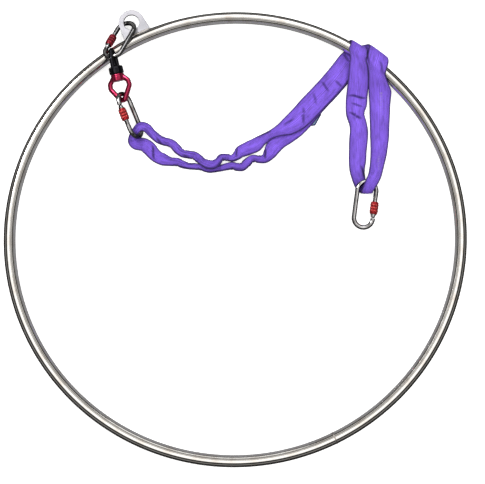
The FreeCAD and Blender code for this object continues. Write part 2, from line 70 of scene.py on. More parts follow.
# Where the links of the chain lie, as in the CAD model: middle or tip, then heading, pitch and roll
# in degrees. Side is +1 where the gate is to the left of the heading.
TAB_CARABINER = dict(at=(-247.06, 423.78, 34.0), heading=66.22, pitch=-18.73, roll=-26.49, side=1)
SLING_CARABINER = dict(at=(-223.37, 257.26, 27.66), heading=-67.65, pitch=-11.11, roll=55.3, side=-1)
ANCHOR_CARABINER = dict(at=(275.5, 63.5, 11.4), heading=82.1, pitch=6.0, roll=-6.0, side=-1)
SWIVEL_EYE = dict(at=(-262.98, 398.35, 56.15), heading=-76.87, pitch=-11.85, roll=-67.67, side=1)
SWIVEL_BOW = dict(at=(-262.98, 398.35, 56.15), heading=-76.87, pitch=-11.85, roll=22.61, side=1)
GATE_LINE = 20.0            # the gate's axis, across a carabiner from its middle
HINGE_AT, LATCH_AT = -22.0, 14.0  # the pins, along a carabiner from its middle
SLEEVE_AT, SLEEVE_HALF = -5.0, 13.0  # the sleeve's middle and half its length
SLEEVE_BORE, SLEEVE_RADIUS, SLEEVE_END_RADIUS = 5.9, 8.35, 7.3
SPRING_AT, SPRING_LENGTH, SPRING_TURNS = -11.8, 16.4, 7
SPRING_RADIUS, SPRING_WIRE = 1.95, 0.3

# The sling's route, as in the CAD model, except that its lobe under the sling carabiner and its
# turn over the hoop stand a few millimetres wider here. Each row is x, y, z, width and thickness
# of the woven tube, and where its sections are not square to it, the heading of their width.
CUT_HEADING = 13.1
UPPER_LEG = [
    (-128, 194, 6.6, 19, 12, CUT_HEADING), (-119, 184, 6.6, 16, 12), (-110, 178, 6.6, 15, 12),
    (-98, 175.5, 6.6, 15, 12), (-86, 173, 6.8, 16, 12), (-76, 165.5, 9.5, 16, 11),
    (-67, 157, 15, 15, 10), (-56, 151.5, 17.7, 18, 10), (-45, 151.5, 17.7, 18, 10),
    (-36, 158, 15, 15, 10), (-28, 167.5, 10, 14, 11), (-17, 168.5, 7, 13, 12),
    (-6, 167.5, 6.6, 14, 12), (3, 172, 5.8, 18, 10.5), (12, 181, 4.6, 24, 8),
    (28, 189, 3.9, 27, 7), (45, 197, 3.9, 28, 7), (60, 208.5, 3.9, 21, 7),
    (80, 219.5, 8.3, 18, 6.4), (97, 227.5, 9.0, 25, 5.6), (112, 235, 8.4, 36, 5),
    (128, 246, 8.0, 43, 4.8), (144.5, 261, 7.8, 46, 4.8), (162, 280.5, 7.8, 47, 4.8),
    (179, 298.5, 7.8, 47, 4.8), (197, 318, 7.7, 47, 4.8), (214, 338, 7.5, 47, 4.7),
    (229.5, 358, 7.1, 46, 4.4), (243, 377, 6.8, 45, 4.0), (252, 388, 6.8, 43, 4.0, -33),
]
LOWER_LEG = [
    (-177, 182, 6.2, 30, 9, CUT_HEADING), (-166, 172, 6.0, 27, 9, 35), (-151, 164.5, 6.0, 24, 9),
    (-137, 160.5, 6.4, 18, 11), (-122, 159, 6.6, 16, 12), (-110, 154, 6.4, 14, 12),
    (-98, 150.5, 6.2, 12, 11.5), (-85, 149.5, 6.2, 12, 11.5), (-72, 147.5, 6.2, 11, 11.5),
    (-60, 143.5, 6.0, 11, 11), (-50, 142, 6.0, 11, 11), (-35, 144.5, 6.0, 12, 11),
    (-20, 148, 6.2, 13, 11.5), (-6, 150, 6.4, 15, 12), (5, 148, 6.6, 16, 12),
    (16, 148.5, 6.6, 17, 12), (26, 157, 6.6, 17, 12), (38, 165.5, 6.6, 15, 12),
    (51, 164.5, 6.6, 15, 12), (63, 165.5, 6.4, 18, 11), (73, 176, 5.2, 25, 9),
    (82, 190.5, 3.9, 31, 7), (93, 203, 2.7, 32, 4.9), (107, 215.5, 2.5, 37, 4.6),
    (125, 231, 2.5, 41, 4.6), (143, 251, 2.5, 44, 4.6), (160, 273, 2.5, 45, 4.6),
    (179, 296, 2.5, 46, 4.6), (197, 315, 2.5, 46, 4.6), (214, 335, 2.5, 46, 4.5),
    (230, 355, 2.4, 46, 4.3), (243, 372, 2.3, 45, 4.0), (251, 383, 2.3, 44, 4.0, -34),
]
# Round the tube: angle in the hoop, angle round the tube from its lowest point through the outer
# side, distance from the tube's middle, width, thickness.
UPPER_WRAP = [(57.2, 4, 15.0, 41, 4.0), (57.3, 26, 15.1, 39, 4.0), (57.4, 48, 15.2, 38, 4.2),
              (57.4, 70, 15.4, 38, 4.4), (57.2, 92, 15.5, 38, 4.6), (57.0, 114, 15.6, 39, 4.7),
              (56.6, 137, 15.6, 40, 4.8), (56.3, 160, 15.6, 41, 4.8), (56.0, 183, 15.6, 42, 4.8),
              (55.8, 205, 15.8, 42, 4.8)]
LOWER_WRAP = [(56.4, 5, 19.4, 42, 4.0), (55.8, 25, 19.6, 41, 4.0), (55.0, 44, 20.2, 41, 4.0),
              (54.2, 62, 21.4, 42, 4.2), (53.1, 80, 26.0, 45, 4.4), (52.2, 98, 27.5, 48, 4.6),
              (51.5, 118, 23.5, 50, 4.7), (51.0, 139, 18.6, 51, 4.8), (50.7, 161, 15.8, 51, 4.8),
              (50.3, 183, 15.6, 50, 4.8), (49.95, 205, 15.8, 50, 4.8)]
UPPER_DROP = [
    (266.3, 374, 30.5, 42, 5, -34), (266, 360, 24.0, 42, 5, -24), (265.5, 342, 17.0, 42, 5, -12),
    (264, 322, 10.5, 43, 5), (261.5, 303, 5.6, 43, 5.4), (260, 284, 4.6, 43, 6.4),
    (258, 263, 4.2, 37, 7), (263, 243, 3.8, 35, 6.6), (265, 228, 3.4, 36, 6), (264.5, 215, 3.3, 37, 5.8),
]
LOWER_DROP = [
    (305.5, 345.5, 29.8, 52, 4.9, -41), (309.3, 331.5, 23.5, 51, 5, -33), (310.8, 316, 15.0, 48, 5, -16),
    (311, 298, 7.0, 44.5, 5), (310.5, 280, 3.6, 42, 5.4), (310, 262, 3.2, 41, 5.6),
    (309.5, 238, 3.2, 39, 5.6), (309, 215, 3.2, 38, 5.6),
]
FREE_END = [
    (264.5, 215, 3.3, 37, 5.8), (263.5, 202, 3.2, 37, 5.6), (262, 180, 3.2, 35, 5.8),
    (261, 160, 3.3, 34, 6), (260, 142, 3.6, 30, 6.6), (262, 127, 4.0, 27, 7.2), (265.5, 113, 4.2, 25, 7.4),
    (270.5, 101, 4.3, 24, 7, 8), (277, 91.8, 7.6, 23, 6.6, 4), (279.4, 89.2, 13.8, 23, 6.4, 0),
    (281, 92.2, 21.2, 23, 6.4, -4), (286, 101.5, 26.6, 24, 6.6, -10),
    (291.5, 112.5, 27.4, 25, 7), (296.5, 125, 23.2, 26, 7), (300, 139, 15.8, 27, 6.6),
    (303, 155, 8.8, 29, 6.4), (306, 174, 4.4, 32, 6), (308, 195, 3.3, 35, 5.8), (309, 215, 3.2, 38, 5.6),
]
SWIVEL_END = [
    (-128, 194, 6.6, 19, 12, CUT_HEADING), (-139, 201.5, 6.6, 16, 12), (-151, 205, 6.8, 16, 12),
    (-163, 210, 8.5, 17, 11), (-175, 219.5, 13, 17, 9), (-186, 230, 18.5, 18, 7.5),
    (-196, 234, 21.5, 18, 6.5), (-205, 231.5, 20.5, 17, 6), (-212.8, 223.5, 15.5, 15, 6),
    (-216.5, 215.5, 9.0, 18, 5.6), (-216, 207.5, 5.2, 24, 5.6), (-211, 201.5, 4.2, 25, 5.6),
    (-203, 200, 4.0, 26, 5.8), (-195, 198.5, 4.0, 27, 6), (-186.5, 193, 4.8, 28, 7.2),
    (-177, 182, 6.2, 30, 9, CUT_HEADING),
]
# Sharp folds in the cloth: middle x, y, heading, half length, depth and half width of the groove.
CREASES = [
    (263, 301, -8, 19, 2.2, 2.4), (262, 283, -13, 14, 1.7, 2.2), (258, 260, -24, 15, 2.2, 2.6),
    (273, 135, -66, 16, 1.8, 2.4), (194, 324, -51, 14, 1.6, 3.0), (223, 330, -37, 11, 1.4, 3.0),
    (240, 388, -50, 12, 1.5, 2.6), (285, 388, -84, 26, 1.8, 2.4), (314, 356, -75, 18, 1.2, 3.0),
    (147, 260, -86, 20, 1.7, 3.0), (116, 246, 35, 15, 1.2, 2.6), (65, 176, -82, 13, 2.2, 2.4),
    (4, 180, -88, 10, 2.0, 2.0), (-174, 180, -80, 16, 2.4, 2.6), (66, 222, 28, 16, 1.2, 2.2),
    (-161, 203, -40, 9, 1.6, 2.2), (-104, 170, -15, 9, 1.4, 2.2), (172, 296, -70, 15, 1.0, 3.2),
]
CREASE_REACH = 40          # no crease is felt further away than this
SEAM = ((314.0, 309.0), (305.0, 136.0))  # row of stitches down the right leg
RING_POINTS = 84           # points round one section of the woven tube
STEP = 1.6                 # distance between sections
FINE_STEPS = 40            # points between two rows, from which the sections are picked
BEND_REACH = 3             # sections to each side over which a bend is measured
FULLNESS = 1.5             # how far the cloth stands out beyond the rows above on each side
# Painted shade: the cloth is painted darker towards its edges.
EDGE_SHADE_WIDTH = 5.0              # width over which the cloth darkens towards its edge
LABEL_CORNERS = [(140, 240), (155, 237), (172, 239.5), (185.5, 264), (179, 268), (160, 262)]
LABEL_LOW, LABEL_THICKNESS = 1.2, 0.9  # height of its underside, and its thickness
# Rings of the label from its rim inwards: size, height in thicknesses and how far it is hem.
LABEL_RINGS = [(1.0, 0.0, 1.0), (0.995, 0.5, 1.0), (0.97, 0.95, 1.0), (0.86, 1.0, 1.0), (0.8, 0.86, 0.8),
               (0.74, 0.9, 0.0), (0.5, 0.95, 0.0), (0.05, 0.95, 0.0)]
PUCKER_LENGTH = 7.5        # from one pucker to the next


# --- Helpers ------------------------------------------------------------------------------------
def link_matrix(at, heading, pitch, roll, side):
    """Local X runs along the link, local Y across it towards the gate."""
    h, p, r = (math.radians(v) for v in (heading, pitch, roll))
    along = Vector((math.cos(p) * math.cos(h), math.cos(p) * math.sin(h), math.sin(p)))
    level = Vector((-math.sin(h), math.cos(h), 0)) * side
    up = along.cross(level) * side
    across = level * math.cos(r) + up * math.sin(r)
    turn = Matrix((along, across, along.cross(across))).transposed().to_4x4()
    return Matrix.Translation(Vector(at)) @ turn


def new_object(name, mesh, material):
    obj = bpy.data.objects.new(name, mesh)
    bpy.context.collection.objects.link(obj)
    mesh.materials.append(material)
    return obj


def to_metres(name, verts, faces, material, matrix=Matrix.Identity(4)):
    """A smooth-shaded mesh object from millimetre points, placed by a link's matrix."""
    mesh = bpy.data.meshes.new(name)
    mesh.from_pydata([matrix @ Vector(v) * MM for v in verts], [], faces)
    mesh.polygons.foreach_set("use_smooth", [True] * len(mesh.polygons))
    mesh.validate()
    return new_object(name, mesh, material)


def store(obj, name, values):
    """Keeps one value per point on the mesh, for its material."""
    obj.data.attributes.new(name, "FLOAT", "POINT").data.foreach_set("value", values)


def grid_faces(rows, columns, close_rows=False):
    """Quads of a rows x columns grid that is closed round its columns."""
    faces = []
    for i in range(rows if close_rows else rows - 1):
        for k in range(columns):
            a, b = i * columns, ((i + 1) % rows) * columns
            faces.append((a + k, a + (k + 1) % columns, b + (k + 1) % columns, b + k))
    return faces


def capped_faces(rows, columns):
    """The same, with a face over each end."""
    last = (rows - 1) * columns
    return grid_faces(rows, columns) + [tuple(range(columns)), tuple(range(last, last + columns))]


def catmull_rom(values, t):
    """Point t (whole part: span, rest: share of it) on a smooth line through the rows in values."""
    i = min(int(t), len(values) - 2)
    f = t - i
    p0, p1, p2, p3 = (values[min(max(k, 0), len(values) - 1)] for k in (i - 1, i, i + 1, i + 2))
    return [0.5 * (2 * b + (c - a) * f + (2 * a - 5 * b + 4 * c - d) * f ** 2
                   + (3 * b - a - 3 * c + d) * f ** 3)
            for a, b, c, d in zip(p0, p1, p2, p3)]


def smoothstep(x):
    """0 below 0, 1 above 1, and a smooth step between."""
    x = min(max(x, 0.0), 1.0)
    return x * x * (3 - 2 * x)


# --- Materials ----------------------------------------------------------------------------------
class Shader:
    """A Principled material, with short ways to add the nodes that feed it."""

    def __init__(self, name, color, **constants):
        self.material = bpy.data.materials.new(name)
        self.material.use_nodes = True
        self.tree = self.material.node_tree
        self.bsdf = self.tree.nodes["Principled BSDF"]
        self.bsdf.inputs["Base Color"].default_value = (*color, 1)
        for socket, value in constants.items():
            self.bsdf.inputs[socket.replace("_", " ")].default_value = value
        self.coordinates = self.node("ShaderNodeTexCoord").outputs["Object"]
        self.height = None

    def node(self, kind, **settings):
        node = self.tree.nodes.new(kind)
        for key, value in settings.items():
            setattr(node, key, value)
        return node

    def link(self, source, target):
        self.tree.links.new(source, target)

    def uv(self):
        return self.node("ShaderNodeUVMap", uv_map="weave").outputs["UV"]

    def scaled(self, vector, scale):
        mapping = self.node("ShaderNodeMapping")
        mapping.inputs["Scale"].default_value = scale
        self.link(vector, mapping.inputs["Vector"])
        return mapping.outputs["Vector"]

    def noise(self, scale, detail=4.0, stretch=(1, 1, 1), source=None, roughness=0.55):
        node = self.node("ShaderNodeTexNoise")
        node.inputs["Scale"].default_value = scale
        node.inputs["Detail"].default_value = detail
        node.inputs["Roughness"].default_value = roughness
        self.link(self.scaled(source or self.coordinates, stretch), node.inputs["Vector"])
        return node.outputs["Fac"]

    def wave(self, scale, direction, source, distortion=0.0):
        node = self.node("ShaderNodeTexWave", wave_type="BANDS", bands_direction=direction)
        node.inputs["Scale"].default_value = scale
        node.inputs["Distortion"].default_value = distortion
        node.inputs["Detail Scale"].default_value = 1.5
        self.link(source, node.inputs["Vector"])
        return node.outputs["Fac"]

    def ramp(self, source, *stops):
        node = self.node("ShaderNodeValToRGB")
        while len(node.color_ramp.elements) < len(stops):
            node.color_ramp.elements.new(0.5)
        for element, (position, color) in zip(node.color_ramp.elements, stops):
            element.position = position
            element.color = (*color, 1) if hasattr(color, "__len__") else (color, color, color, 1)
        self.link(source, node.inputs["Fac"])
        return node.outputs["Color"]

    def math(self, operation, a, b):
        node = self.node("ShaderNodeMath", operation=operation)
        for socket, value in zip(node.inputs, (a, b)):
            if hasattr(value, "is_output"):
                self.link(value, socket)
            else:
                socket.default_value = value
        return node.outputs["Value"]

    def multiply_color(self, a, b, amount=1.0):
        node = self.node("ShaderNodeMix", data_type="RGBA", blend_type="MULTIPLY")
        node.inputs["Factor"].default_value = amount
        self.link(a, node.inputs[6])
        self.link(b, node.inputs[7])
        return node.outputs[2]

    def mix_color(self, a, color, factor):
        node = self.node("ShaderNodeMix", data_type="RGBA")
        self.link(factor, node.inputs["Factor"])
        self.link(a, node.inputs[6])
        node.inputs[7].default_value = (*color, 1)
        return node.outputs[2]

    def attribute(self, name):
        """A value from 0 to 1 that the mesh itself holds at each point."""
        return self.node("ShaderNodeAttribute", attribute_name=name).outputs["Fac"]

    def color(self, source):
        self.link(source, self.bsdf.inputs["Base Color"])

    def roughness(self, source, low, high):
        self.link(self.ramp(source, (0.25, low), (0.75, high)), self.bsdf.inputs["Roughness"])

    def bump(self, source, distance, strength=1.0):
        node = self.node("ShaderNodeBump")
        node.inputs["Strength"].default_value = strength
        node.inputs["Distance"].default_value = distance * MM
        self.link(source, node.inputs["Height"])
        if self.height:
            self.link(self.height, node.inputs["Normal"])
        self.height = node.outputs["Normal"]
        self.link(self.height, self.bsdf.inputs["Normal"])


def metal(name, color, low, high, bump, stain=None, scratch=(1, 1, 1), side_shade=None):
    """Metal with scratches, smudges in its gloss, stains in its colour and optional painted shade on its
    steep sides.
    """
    shader = Shader(name, color, Metallic=1.0)
    smudges = shader.noise(60, 5)
    scratches = shader.noise(420, 3, scratch, roughness=0.7)
    shader.roughness(shader.math("MULTIPLY", shader.math("ADD", smudges, scratches), 0.5), low, high)
    shader.bump(scratches, bump, 0.35)
    dark, light = stain or [c * 0.72 for c in color], [min(c * 1.05, 1) for c in color]
    face = shader.ramp(shader.noise(34, 6), (0.3, dark), (0.52, color), (0.8, light))
    # Painted shade: faces that turn away from straight up are painted darker, down to the given share of
    # their colour.
    if side_shade:
        split = shader.node("ShaderNodeSeparateXYZ")
        shader.link(shader.node("ShaderNodeTexCoord").outputs["Normal"], split.inputs[0])
        face = shader.multiply_color(face, shader.ramp(split.outputs["Z"], (0.62, side_shade), (0.86, 1.0)))
    shader.color(face)
    return shader.material


def anodised(name, color, edge, low=0.16, high=0.34):
    """Dyed aluminium: coloured metal under a clear gloss, with paler patches on sharp edges that are partly
    wear and partly painted highlight.
    """
    shader = Shader(name, color, Metallic=0.9, Coat_Weight=0.5, Coat_Roughness=0.12)
    grain = shader.noise(900, 2, roughness=0.7)
    shader.roughness(shader.noise(90, 4), low, high)
    shader.bump(grain, 0.015, 0.3)
    edge_sharpness = shader.node("ShaderNodeNewGeometry").outputs["Pointiness"]
    # Paler patches on sharp edges: partly wear, partly painted highlight.
    wear_and_highlight_patches = shader.math("MULTIPLY", shader.ramp(edge_sharpness, (0.52, 0.0), (0.62, 1.0)), shader.noise(260, 4))
    shader.color(shader.ramp(wear_and_highlight_patches, (0.3, color), (0.62, edge)))
    return shader.material


def knurled(name, color, groove_shade, edge):
    """Dyed aluminium, painted darker in the grooves of its knurl as painted shade and paler on the tops of
    its diamonds, with random darker blotches.
    """
    shader = Shader(name, color, Metallic=0.85, Coat_Weight=0.4, Coat_Roughness=0.15)
    depth = shader.attribute("knurl")
    shader.roughness(shader.noise(90, 4), 0.22, 0.42)
    shader.bump(shader.noise(900, 2, roughness=0.7), 0.015, 0.3)
    # Painted shade: points that lie deeper in the knurl and its collars are painted darker, and the tops of
    # the diamonds paler.
    dye_and_groove_shade = shader.ramp(depth, (0.15, groove_shade), (0.5, color), (0.95, edge))
    shader.color(shader.multiply_color(dye_and_groove_shade, shader.ramp(shader.noise(120, 4), (0.3, 0.72), (0.6, 1.0))))
    return shader.material


def sling_cloth(name, base, groove_shade, ribs_per_turn):
    """Woven polyester: ribs along the tube and a finer weave across them, with painted shade in the rib
    valleys, in the folds and towards the edges.
    """
    shader = Shader(name, base, Roughness=0.75, Sheen_Weight=0.12, Sheen_Roughness=0.4,
                    Specular_IOR_Level=0.2)
    uv = shader.uv()
    around = shader.wave(ribs_per_turn / 20, "X", shader.scaled(uv, (20, 1, 1)), 0.4)
    weft = shader.wave(0.55, "Y", uv, 0.6)
    streaks = shader.noise(0.035, 5, (900, 1, 1), uv, 0.6)
    cloud = shader.noise(28, 4)
    # Painted shade in the rib valleys, and the rib tops a little paler.
    cloth = shader.ramp(around, (0.0, groove_shade), (0.45, base), (1.0, [min(c * 1.12, 1) for c in base]))
    # Random streaks and clouds, then painted shade in the folds and creases and towards the edges.
    for shade in (shader.ramp(streaks, (0.34, 0.7), (0.54, 1.0)),
                  shader.ramp(cloud, (0.3, 0.86), (0.58, 1.0)),
                  shader.ramp(shader.attribute("fold"), (0.06, 1.0), (0.32, 0.62), (0.8, 0.3)),
                  shader.ramp(shader.attribute("edge_shade"), (0.0, 1.0), (0.4, 0.72), (0.9, 0.22))):
        cloth = shader.multiply_color(cloth, shade)
    cloth = shader.mix_color(cloth, (0.36, 0.27, 0.62), shader.attribute("stitch"))
    shader.color(cloth)
    shader.bump(around, 0.35, 0.8)
    shader.bump(weft, 0.12, 0.6)
    shader.bump(shader.noise(1500, 2), 0.08, 0.5)
    return shader.material


STEEL = metal("polished_hoop_steel", (0.9, 0.885, 0.86), 0.05, 0.12, 0.004, (0.76, 0.71, 0.66))
# The tab and the carabiners get painted shade on their steep sides.
TAB_STEEL = metal("blasted_tab_steel", (0.46, 0.455, 0.49), 0.4, 0.6, 0.04, (0.38, 0.38, 0.41), side_shade=0.3)
CHROME = metal("plated_carabiner_steel", (0.7, 0.695, 0.71), 0.05, 0.14, 0.02, (0.17, 0.155, 0.15),
               side_shade=0.1)
PIN_STEEL = metal("turned_pin_steel", (0.6, 0.6, 0.62), 0.2, 0.4, 0.03, scratch=(1, 1, 20))
WELD = metal("weld_bead_steel", (0.5, 0.47, 0.44), 0.25, 0.45, 0.04, (0.34, 0.28, 0.25))
# The second colour of each is that of the paler edges, partly wear and partly painted highlight.
BLACK = anodised("black_anodised", (0.006, 0.006, 0.012), (0.06, 0.06, 0.08))
CRIMSON = anodised("crimson_anodised", (0.5, 0.018, 0.085), (0.9, 0.34, 0.46), 0.12, 0.26)
# Knurled sleeves: the second colour is painted shade in the grooves, the third the paler tops of the
# diamonds.
RED = knurled("red_anodised", (0.72, 0.02, 0.03), (0.1, 0.004, 0.008), (0.9, 0.16, 0.14))
DARK_RED = knurled("dark_red_anodised", (0.4, 0.01, 0.03), (0.06, 0.004, 0.008), (0.62, 0.08, 0.12))
BRASS = metal("cage_brass", (0.7, 0.5, 0.22), 0.2, 0.4, 0.02, scratch=(1, 1, 14))
CLOTH = sling_cloth("violet_sling_cloth", (0.3, 0.155, 0.98), (0.15, 0.07, 0.6), 44)


def label_cloth():
    """Satin ribbon, woven blank, with a dark bound edge."""
    shader = Shader("navy_label_ribbon", (0.02, 0.03, 0.14), Roughness=0.6, Specular_IOR_Level=0.2)
    weave = shader.wave(220, "DIAGONAL", shader.coordinates, 0.3)
    ribbon = shader.ramp(weave, (0.2, (0.13, 0.2, 0.33)), (0.8, (0.24, 0.34, 0.48)))
    shader.color(shader.mix_color(ribbon, (0.012, 0.014, 0.09), shader.attribute("hem")))
    shader.bump(weave, 0.08, 0.5)
    return shader.material


def seal_rubber():
    """Matt black rubber with a fine grain."""
    shader = Shader("seal_rubber", (0.03, 0.03, 0.03), Roughness=0.6)
    shader.bump(shader.noise(700, 3), 0.05)
    return shader.material


LABEL_CLOTH = label_cloth()
SLOT_MATERIALS = {
    "polished_tube": STEEL, "inner_steel": TAB_STEEL, "weld_bead": WELD, "tab_steel": TAB_STEEL,
    "carabiner_steel": CHROME, "pin_steel": PIN_STEEL, "spring_wire": PIN_STEEL, "bearing_steel": PIN_STEEL,
    "cage_brass": BRASS, "seal_rubber": seal_rubber(), "black_swivel": BLACK, "red_swivel": CRIMSON,
    "red_sleeve": RED, "dark_red_sleeve": DARK_RED, "sling_cover": CLOTH, "sling_core": CLOTH,
    "sling_label": LABEL_CLOTH,
}


def dress_nodes():
    """Gives every CAD node the detailed material of its slot."""
    for part in frame["record"]["subparts"]:
        node = frame["nodes"][part["node"]]
        for slot in node.material_slots:
            slot.link = "OBJECT"
            slot.material = SLOT_MATERIALS[part["material_slot"]]


# --- Camera, floor and light --------------------------------------------------------------------
CAMERA_AZIMUTH, CAMERA_ELEVATION = math.radians(6.527), math.radians(78.542)
CAMERA_DISTANCE, CAMERA_LENS, CAMERA_SENSOR = 3.5, 123.4, 36
CAMERA_AIM = Vector((0.01658, -0.01638, 0.0125))


DISC_COLUMNS = 96
FLOOR_RADIUS, FLOOR_HEIGHT = 60.0, -0.0008
CARD_HEIGHT, CARD_GREY, CARD_RING = 0.7, 0.26, 0.85
SHEET_HEIGHT = -0.0006
SKY_BANDS = ((0.0, 0.02), (0.5, 0.02), (0.53, 0.2), (0.63, 0.2), (0.68, 0.02), (0.86, 0.03), (0.9, 1.0),
             (1.0, 1.0))
SKY_STRENGTH = 1.25


def make_camera():
    """A long lens, high over the near side of the hoop, with +y up in the picture."""
    level = math.cos(CAMERA_ELEVATION)
    back = Vector((math.sin(CAMERA_AZIMUTH) * level, -math.cos(CAMERA_AZIMUTH) * level,
                   math.sin(CAMERA_ELEVATION)))
    up = Vector((0, 1, 0))
    up = (up - back * up.dot(back)).normalized()
    camera = bpy.data.objects.new("camera", bpy.data.cameras.new("camera"))
    camera.data.sensor_width = CAMERA_SENSOR
    camera.data.lens = CAMERA_LENS
    camera.matrix_world = (Matrix.Translation(CAMERA_AIM + back * CAMERA_DISTANCE)
                           @ Matrix((up.cross(back), up, back)).transposed().to_4x4())
    bpy.context.collection.objects.link(camera)
    bpy.context.scene.camera = camera


def area_light(name, place, size, power, mirrored):
    """A soft box; one that isn't mirrored lights the cloth but shows in no polished surface."""
    light = bpy.data.lights.new(name, "AREA")
    light.shape = "RECTANGLE"
    light.size, light.size_y = size
    light.energy = power
    obj = bpy.data.objects.new(name, light)
    obj.location = place
    obj.rotation_euler = (Vector((0, 0, 0)) - Vector(place)).to_track_quat("-Z", "Y").to_euler()
    obj.visible_glossy = mirrored
    obj.visible_camera = False
    bpy.context.collection.objects.link(obj)


def stage_disc(name, radius, height, material):
    """A round flat sheet of the given radius, at the given height."""
    mesh = bpy.data.meshes.new(name)
    turns = [2 * math.pi * k / DISC_COLUMNS for k in range(DISC_COLUMNS)]
    mesh.from_pydata([(radius * math.cos(a), radius * math.sin(a), height) for a in turns], [],
                     [tuple(range(DISC_COLUMNS))])
    disc = new_object(name, mesh, material)
    return disc


def stage_paint(name, color, glow, strength):
    """Matt paint that gives off an even light of its own."""
    paint = Shader(name, color, Roughness=1.0, Specular_IOR_Level=0.0, Emission_Strength=strength)
    paint.bsdf.inputs["Emission Color"].default_value = (*glow, 1)
    return paint


def make_floor():
    """White paper, which shows only to the camera."""
    paper = stage_paint("white_floor", (1, 1, 1), (1, 1, 1), 0.7)
    paper.color(paper.ramp(paper.noise(3, 2), (0.0, 0.96), (1.0, 1.0)))
    floor = stage_disc("floor", FLOOR_RADIUS, FLOOR_HEIGHT, paper.material)
    floor.visible_glossy = floor.visible_diffuse = False


def make_reflectors():
    """A grey card with a bright ring over the hoop and a grey sheet inside it, which only metal shows."""
    card_paint = stage_paint("grey_card", (0, 0, 0), (1.0, 0.97, 0.93), CARD_GREY)
    ring = card_paint.node("ShaderNodeVectorMath", operation="LENGTH")
    card_paint.link(card_paint.coordinates, ring.inputs[0])
    glow = card_paint.ramp(ring.outputs["Value"], (0.21, CARD_GREY), (0.24, CARD_RING), (0.33, CARD_RING),
                           (0.35, CARD_GREY))
    card_paint.link(glow, card_paint.bsdf.inputs["Emission Strength"])
    card = stage_disc("reflector_card", 0.43, 0.0, card_paint.material)
    card.location.z = CARD_HEIGHT
    sheet_paint = stage_paint("grey_sheet", (0, 0, 0), (0.95, 0.95, 1.0), 0.3)
    sheet = stage_disc("grey_sheet", 0.45, SHEET_HEIGHT, sheet_paint.material)
    for flat in (card, sheet):
        flat.visible_camera = flat.visible_diffuse = flat.visible_shadow = False


def make_sky():
    """A studio's walls and ceiling as bands of brightness, from straight down at 0 to straight up at 1."""
    world = bpy.data.worlds.new("studio")
    bpy.context.scene.world = world
    world.use_nodes = True
    nodes, links = world.node_tree.nodes, world.node_tree.links
    split = nodes.new("ShaderNodeSeparateXYZ")
    links.new(nodes.new("ShaderNodeTexCoord").outputs["Generated"], split.inputs[0])
    height = nodes.new("ShaderNodeMath")
    height.operation = "MULTIPLY_ADD"
    height.inputs[1].default_value = height.inputs[2].default_value = 0.5
    links.new(split.outputs["Z"], height.inputs[0])
    ramp = nodes.new("ShaderNodeValToRGB")
    while len(ramp.color_ramp.elements) < len(SKY_BANDS):
        ramp.color_ramp.elements.new(0.5)
    for element, (position, value) in zip(ramp.color_ramp.elements, SKY_BANDS):
        element.position = position
        element.color = (value, value * 0.98, value * 0.95, 1)
    links.new(height.outputs["Value"], ramp.inputs["Fac"])
    links.new(ramp.outputs["Color"], nodes["Background"].inputs["Color"])
    nodes["Background"].inputs["Strength"].default_value = SKY_STRENGTH


def make_stage():
    make_floor()
    make_reflectors()
    make_sky()
    area_light("key", (-1.6, 1.4, 2.6), (0.9, 0.9), 42, True)
    area_light("fill", (2.2, -1.6, 2.4), (2.4, 2.4), 58, False)
    area_light("north", (0.2, 2.4, 2.1), (1.8, 0.9), 7, True)


# --- Hoop details -------------------------------------------------------------------------------
def make_tube():
    """The hoop's tube, drawn round and smooth where the CAD model's mesh is made of flats."""
    columns, rows = 768, 48
    verts = []
    for i in range(columns):
        a = 2 * math.pi * i / columns
        for k in range(rows):
            b = 2 * math.pi * k / rows
            reach = HOOP_RADIUS + TUBE_RADIUS * math.cos(b)
            verts.append((reach * math.cos(a), reach * math.sin(a), -TUBE_RADIUS * math.sin(b)))
    faces = grid_faces(columns, rows, close_rows=True)
    tube = to_metres("smooth_hoop_tube", verts, faces, STEEL, HOOP_PLACE)
    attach(tube, "hoop")
    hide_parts("hoop_tube")


def make_weld_beads():
    """Two rippled beads where the tab meets the tube."""
    rows, columns = 150, 20
    half_turn = math.asin(TAB_BASE_HALF / TAB_BASE_DISTANCE)
    for side, label in ((1, "top"), (-1, "under")):
        verts = []
        for i in range(rows):
            share = i / (rows - 1)
            angle = TAB_ANGLE + half_turn * (2 * share - 1)
            ripple = abs(math.sin(share * 17 * math.pi)) ** 0.6
            radius = (2.0 + 0.45 * ripple) * min(1.0, 0.25 + 8 * min(share, 1 - share))
            for k in range(columns):
                turn = 2 * math.pi * k / columns
                reach = HOOP_RADIUS + TUBE_RADIUS - 0.5 + radius * math.cos(turn)
                height = side * (TAB_HALF_THICKNESS + 0.6) + radius * math.sin(turn)
                verts.append(HOOP_PLACE @ Vector((reach * math.cos(angle), reach * math.sin(angle), height)))
        bead = to_metres("weld_bead_" + label, verts, capped_faces(rows, columns), WELD)
        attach(bead, "hoop")
        if side > 0:
            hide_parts("tab_welds")


